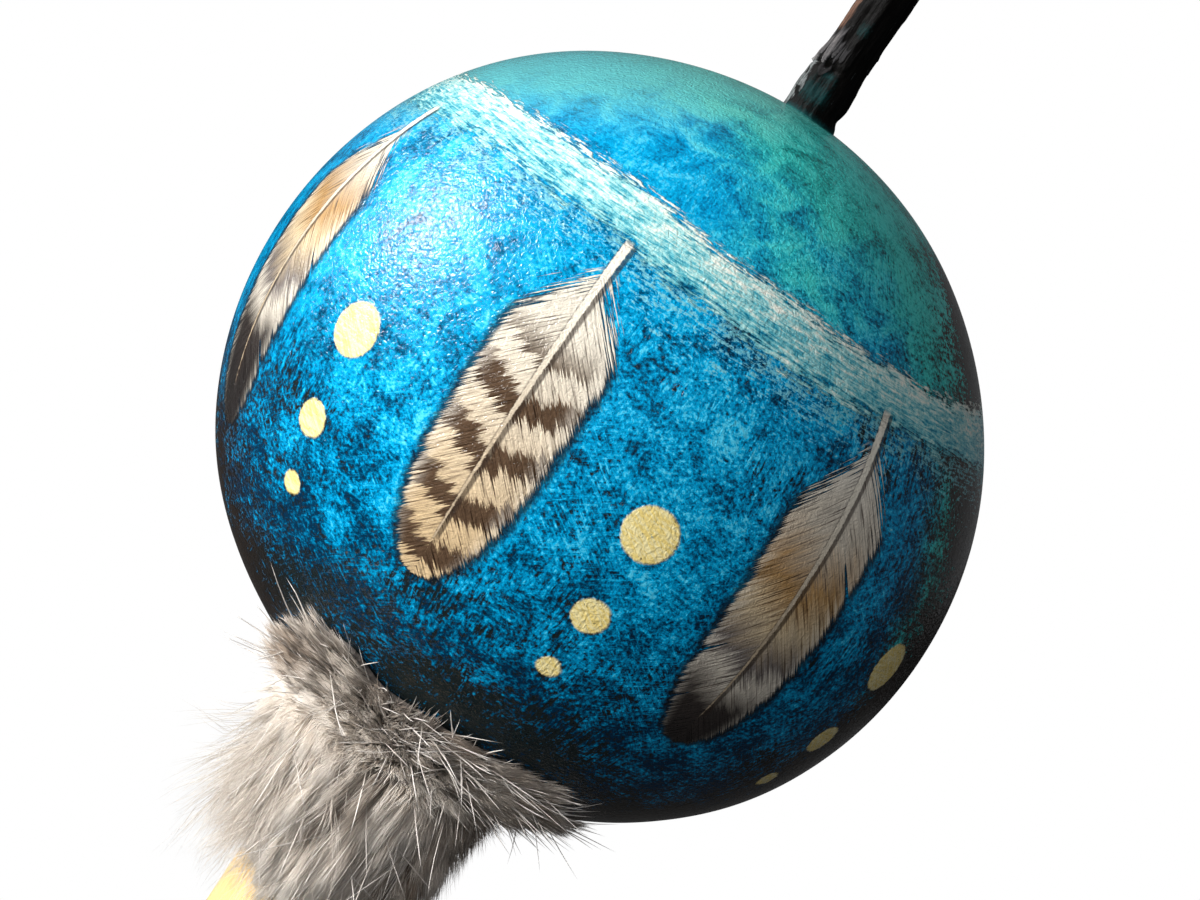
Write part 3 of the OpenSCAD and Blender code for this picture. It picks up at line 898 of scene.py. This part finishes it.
def coat_tone_and_light(turn, s):
    """How pale the coat is, with painted light and shade: palest on the lit front left below the gourd and
    at the front hem, darker on the gourd where the lamps fall strongest and at the shaded right of the
    waist.
    """
    patch = 0.08 * np.sin(3 * turn + 0.5) * np.sin(s * 4) + 0.06 * np.sin(7 * turn + s * 6)

    def facing(degrees):
        return clamp(np.cos(turn - math.radians(degrees)))

    left, lit = facing(234) ** 1.3, facing(208)
    below = clamp((s - 0.52) / 0.36)
    hem = clamp((s - 1.4) / 0.5) * facing(246)
    waist = np.exp(-((s - 0.95) / 0.22) ** 2) * facing(322)
    # Painted light on the lit left and at the hem, painted shade where the lamps fall strongest above and
    # at the right of the waist
    tone = 0.45 - 0.24 * lit * (1 - below) + 0.6 * left * below + 0.32 * hem - 0.16 * waist + patch
    for degrees, width, at, reach, paler in FUR_TONE_AND_LIGHT_PATCHES:
        aside = (np.degrees(turn) - degrees + 180) % 360 - 180
        tone += paler * np.exp(-(aside / width) ** 2 - ((s - at) / reach) ** 2)
    return tone


def build_coat(first, pieces, low, high, tufts, material, seed):
    """Hairs on a stretch of the hide, in small locks that lie in larger ones."""
    gen = np.random.default_rng(seed)
    n = pieces * HAIRS
    turn, s, roots = scatter_roots(gen, n, low, high)
    big_seeds = scatter_roots(gen, tufts // 5, low, high)[2]
    lock_turn, lock_s, seeds = scatter_roots(gen, tufts, low, high)
    big = nearest(seeds, big_seeds)
    sway = gen.normal(0, 0.15, (tufts // 5, 3))[big] + gen.normal(0, 0.09, (tufts, 3))
    stretch = np.clip(gen.normal(1.0, 0.12, tufts), 0.7, 1.3)
    shade = gen.normal(0, 0.1, tufts // 5)[big] + gen.normal(0, 0.19, tufts) * np.clip(lock_s, 0.5, 1)
    lead = coat_hairs(lock_turn, lock_s, gen, 0.0, stretch * 1.06, sway)
    curl = gen.normal(0, 0.8, (tufts, 3))
    own = nearest(roots, seeds)
    root, knee, tip = coat_hairs(turn, s, gen, 0.09, stretch[own] * gen.uniform(0.8, 1.12, n), sway[own])
    pull = np.where(gen.random(n) < 0.2, 0.1, gen.uniform(0.35, 0.75, n))[:, None]
    knee += ((lead[1] + curl)[own] - knee) * pull * 0.45
    tip += (lead[2][own] - tip) * pull
    paths = bend(root, knee, tip, 4)
    paths[:, 1:] += gen.normal(0, 0.13, paths[:, 1:].shape) * np.linspace(0.4, 1, 3)[None, :, None]
    paths[:, 1:] = clear_gourd(paths[:, 1:], 0.25)
    tone = clamp(coat_tone_and_light(turn, s) + shade[own] + gen.normal(0, 0.11, n))
    width = gen.uniform(0.06, 0.11, n)
    for part in range(pieces):
        mine = slice(part * HAIRS, (part + 1) * HAIRS)
        strand_mesh(f"fur_coat_{first + part}", paths[mine], width[mine], tone[mine], material)


def build_guards(material):
    """Guard hairs: longer, paler and straighter."""
    gen = np.random.default_rng(300)
    n = 1300
    turn, s = gen.uniform(0, math.tau, n), 0.1 + 1.85 * gen.random(n)
    root, knee, tip = coat_hairs(turn, s, gen, 0.32, 1.28)
    paths = clear_gourd(bend(root, knee, tip, 5), 0.3)
    width, tone = gen.uniform(0.07, 0.11, n), clamp(gen.normal(0.5, 0.16, n))
    strand_mesh("fur_guard", paths, width, tone, material, 0.3)


def build_strays(material):
    """Stray hairs across the lie, most of them over the gourd."""
    gen = np.random.default_rng(301)
    n, on_neck, on_front = 720, 38, 120
    turn, s = spread_turns(gen, n), 0.02 + 0.75 * gen.random(n) ** 1.4
    turn[:on_neck] = math.radians(255) + gen.normal(0, 0.8, on_neck)
    s[:on_neck] = gen.uniform(1.05, 1.9, on_neck)
    turn[-on_front:] = math.radians(282) + gen.normal(0, 0.24, on_front)
    s[-on_front:] = gen.uniform(0.1, 0.65, on_front)
    root, knee, tip = coat_hairs(turn, s, gen, 0.9, 1.5)
    tip += gen.normal(0, 2.2, (n, 3))
    proud = outwards(turn) * np.where(s > 1, gen.uniform(3.2, 4.6, n), 0)[:, None]
    root, tip = root + proud, tip + proud
    paths = clear_gourd(bend(root, (root + tip) / 2 + gen.normal(0, 0.4, (n, 3)), tip, 5), 0.8)
    width, tone = gen.uniform(0.085, 0.135, n), clamp(gen.normal(0.68, 0.16, n))
    strand_mesh("fur_stray", paths, width, tone, material, 0.35)


def build_wisps(material):
    """Thin curled wisps in tufts, most of them on the left."""
    gen = np.random.default_rng(302)
    tufts, on_left, each, steps = 380, 240, 6, 8
    n = tufts * each
    turn, s = gen.uniform(0, math.tau, tufts), 1.12 + 0.88 * gen.random(tufts)
    turn[:on_left] = math.pi + gen.normal(0, 0.5, on_left)
    root, knee, tip = coat_hairs(turn, s, gen, 0.3, 1.25)
    out = (tip - root) * (1, 1, 0)
    far = gen.uniform(0.0, 1.0, tufts)
    reach = far * np.where(np.arange(tufts) < on_left, 1.15, 0.8)
    tip = tip + out * reach[:, None] + gen.normal(0, 1.3, (tufts, 3))
    knee += out * gen.uniform(0.1, 0.5, tufts)[:, None]
    tip[:, 2] -= gen.uniform(0, 9.0, tufts)
    own = np.repeat(np.arange(tufts), each)
    start = root[own] + gen.normal(0, 0.7, (n, 3))
    middle = knee[own] + gen.normal(0, 0.9, (n, 3))
    paths = bend(start, middle, tip[own] + gen.normal(0, 1.0, (n, 3)), steps)
    along = np.linspace(0, 1, steps)[None, :, None]
    swing = gen.normal(0, 1.1, (tufts, 1, 3))[own] + gen.normal(0, 0.55, (n, 1, 3))
    paths += swing * along * np.sin(along * gen.uniform(4, 9, tufts)[own][:, None, None])
    tone = clamp(0.94 - 0.54 * far[own] + gen.normal(0, 0.12, n))
    strand_mesh("fur_wisps", paths, gen.uniform(0.04, 0.065, n), tone, material, 0.3)


def build_fur():
    under = fur_hair("fur_under", ((0.07, 0.052, 0.039), (0.185, 0.14, 0.106), (0.37, 0.294, 0.232)),
                     ((0.68, 0.598, 0.515), (0.98, 0.892, 0.795), (0.99, 0.94, 0.87)))
    guard = fur_hair("fur_guard", ((0.26, 0.225, 0.195), (0.58, 0.51, 0.45), (0.74, 0.67, 0.61)),
                     ((0.62, 0.56, 0.51), (0.94, 0.89, 0.84), (0.96, 0.93, 0.9)))
    build_coat(1, 5, 1.0, 2.0, 460, under, 100)
    build_coat(6, 3, 0.0, 1.06, 330, under, 105)
    build_guards(guard)
    build_strays(guard)
    build_wisps(under)


# Pebbles: the solids with their split corners joined, rounded off

def build_pebbles():
    stones = [pebble_stone(kind) for kind in range(len(PEBBLE_SHADES))]
    for name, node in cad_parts.items():
        if not name.startswith("pebble_"):
            continue
        number = int(name.split("_")[1])
        corners = np.array([v.co[:] for v in node.data.vertices])
        points, own = np.unique(corners, axis=0, return_inverse=True)
        own = own.reshape(-1)
        faces = [[int(own[v]) for v in face.vertices] for face in node.data.polygons]
        mesh = bpy.data.meshes.new(f"{name}_stone")
        mesh.from_pydata(points.tolist(), [], faces)
        mesh.polygons.foreach_set("use_smooth", np.full(len(faces), True))
        mesh.materials.append(stones[number % len(stones)])
        piece = new_object(f"{name}_stone", mesh)
        soft = piece.modifiers.new("round", "SUBSURF")
        soft.levels = soft.render_levels = 2
        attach(piece, f"loose_pebble_{number}")
        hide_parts(name)


def dress(node, material):
    """Gives a CAD node that stays in view its material."""
    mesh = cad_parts[node].data
    mesh.materials.clear()
    mesh.materials.append(material)


LASHING_H = THREAD_TURNS * THREAD_PITCH + 2 * THREAD_R

build_gourd()
build_stem()
build_wrap()
build_lashing("lashing_lower", "lower_lashing", WRAP_LOW + 2.5)
build_lashing("lashing_upper", "upper_lashing", WRAP_HIGH - LASHING_H - 1.5)
build_hide()
build_fur()
build_pebbles()
dress("handle_stick", stick_wood())
dress("putty_fillet", putty())


# Floor, light and camera

# The floor's grey as it lights the object and as the camera sees it, and where it turns white, in metres
FLOOR_BOUNCE, FLOOR_SEEN = (0.07, 0.07, 0.07), (0.9, 0.9, 0.9)
WHITE_FROM, WHITE_AT = 0.09, 0.26
# The photo's size, and the gourd's middle row and radius in it, in pixels
PHOTO_W, PHOTO_H = 1200, 900
GOURD_ROW, GOURD_PX = 435.6, 390.1
# Lamps: direction in the camera's axes, distance and size in metres, watts, tint, for gloss, for matt
LAMPS = {"key": ((-0.63, 0.77, 0.18), 1.2, 0.6, 11.5, (1.0, 0.985, 0.96), True, True),
         "glint": ((-0.63, 0.77, 0.1), 1.2, 0.42, 28.0, (1.0, 1.0, 1.0), True, False),
         "side": ((-0.78, 0.34, 0.62), 1.1, 0.5, 20.0, (1.0, 0.98, 0.95), False, True),
         "fill": ((-0.05, 0.15, 1.0), 1.6, 1.2, 8.0, (0.99, 0.99, 1.0), False, True),
         "back": ((0.35, 0.25, -1.0), 1.4, 0.9, 8.0, (0.97, 0.985, 1.0), False, True)}


def build_floor():
    """A floor that shows the shadow near the object and is plain white further off."""
    z, half = (BUTT_Z - 0.3) * MM, 8
    mesh = bpy.data.meshes.new("floor")
    corners = [(-half, -half, z), (half, -half, z), (half, half, z), (-half, half, z)]
    mesh.from_pydata(corners, [], [(0, 1, 2, 3)])
    mat = bpy.data.materials.new("floor_white")
    tree = empty_tree(mat)
    camera_ray = wire_from(tree, "LightPath", output="Is Camera Ray")
    own = wire_from(tree, "TexCoord", output="Object")
    far = wire_from(tree, "VectorMath", own, output="Value", operation="LENGTH")
    tone = add_node(tree, "Mix", camera_ray, data_type="RGBA")
    plug(tone.inputs[6], FLOOR_BOUNCE)
    plug(tone.inputs[7], FLOOR_SEEN)
    dull = wire_from(tree, "BsdfDiffuse", Wire(tone.outputs[2]))
    white = wire_from(tree, "Emission")
    plain = far.smooth(WHITE_FROM, WHITE_AT) * camera_ray
    add_node(tree, "OutputMaterial", wire_from(tree, "MixShader", plain, dull, white))
    mesh.materials.append(mat)
    new_object("floor", mesh)


def build_world():
    """Faint light from all round, and white where the camera sees past the floor."""
    world = bpy.data.worlds.new("studio")
    bpy.context.scene.world = world
    tree = empty_tree(world)
    camera_ray = wire_from(tree, "LightPath", output="Is Camera Ray")
    room = wire_from(tree, "Background", (0.95, 0.97, 1.0), 0.12)
    white = wire_from(tree, "Background", (1.0, 1.0, 1.0))
    add_node(tree, "OutputWorld", wire_from(tree, "MixShader", camera_ray, room, white))


def camera_axes():
    """Right, up and back of the camera: the stalk points up to the right and a little towards it."""
    tip = math.radians(5.0)
    roll = math.atan2(0.556, 0.831)
    back = Vector((0, -math.cos(tip), math.sin(tip)))
    rise = Vector((0, math.sin(tip), math.cos(tip)))
    right = rise.cross(back)
    up = rise * math.cos(roll) - right * math.sin(roll)
    return right * math.cos(roll) + rise * math.sin(roll), up, back


RIGHT, UP, BACK = camera_axes()
CENTRE = Vector((0, 0, GOURD_Z * MM))


def build_camera():
    far, half = 0.6, GOURD_A * MM
    focal_px = GOURD_PX * math.sqrt(far**2 - half**2) / half
    camera = bpy.data.cameras.new("camera")
    camera.sensor_fit, camera.sensor_width, camera.clip_start = "HORIZONTAL", 36.0, 0.01
    camera.lens = focal_px * camera.sensor_width / PHOTO_W
    obj = new_object("camera", camera)
    obj.matrix_world = Matrix((RIGHT, UP, BACK)).transposed().to_4x4()
    obj.location = CENTRE + BACK * far - UP * (PHOTO_H / 2 - GOURD_ROW) * (far / focal_px)
    bpy.context.scene.camera = obj


def build_lights():
    for name, (way, far, size, watts, tint, gloss, matt) in LAMPS.items():
        light = bpy.data.lights.new(name, "AREA")
        light.shape, light.size, light.energy, light.color = "DISK", size, watts, tint
        obj = new_object(name, light)
        obj.visible_glossy, obj.visible_diffuse = gloss, matt
        way = (RIGHT * way[0] + UP * way[1] + BACK * way[2]).normalized()
        obj.location = CENTRE + way * far
        obj.rotation_euler = way.to_track_quat("Z", "Y").to_euler()


build_floor()
build_world()
build_camera()
build_lights()
bpy.context.scene.view_settings.view_transform = "Standard"
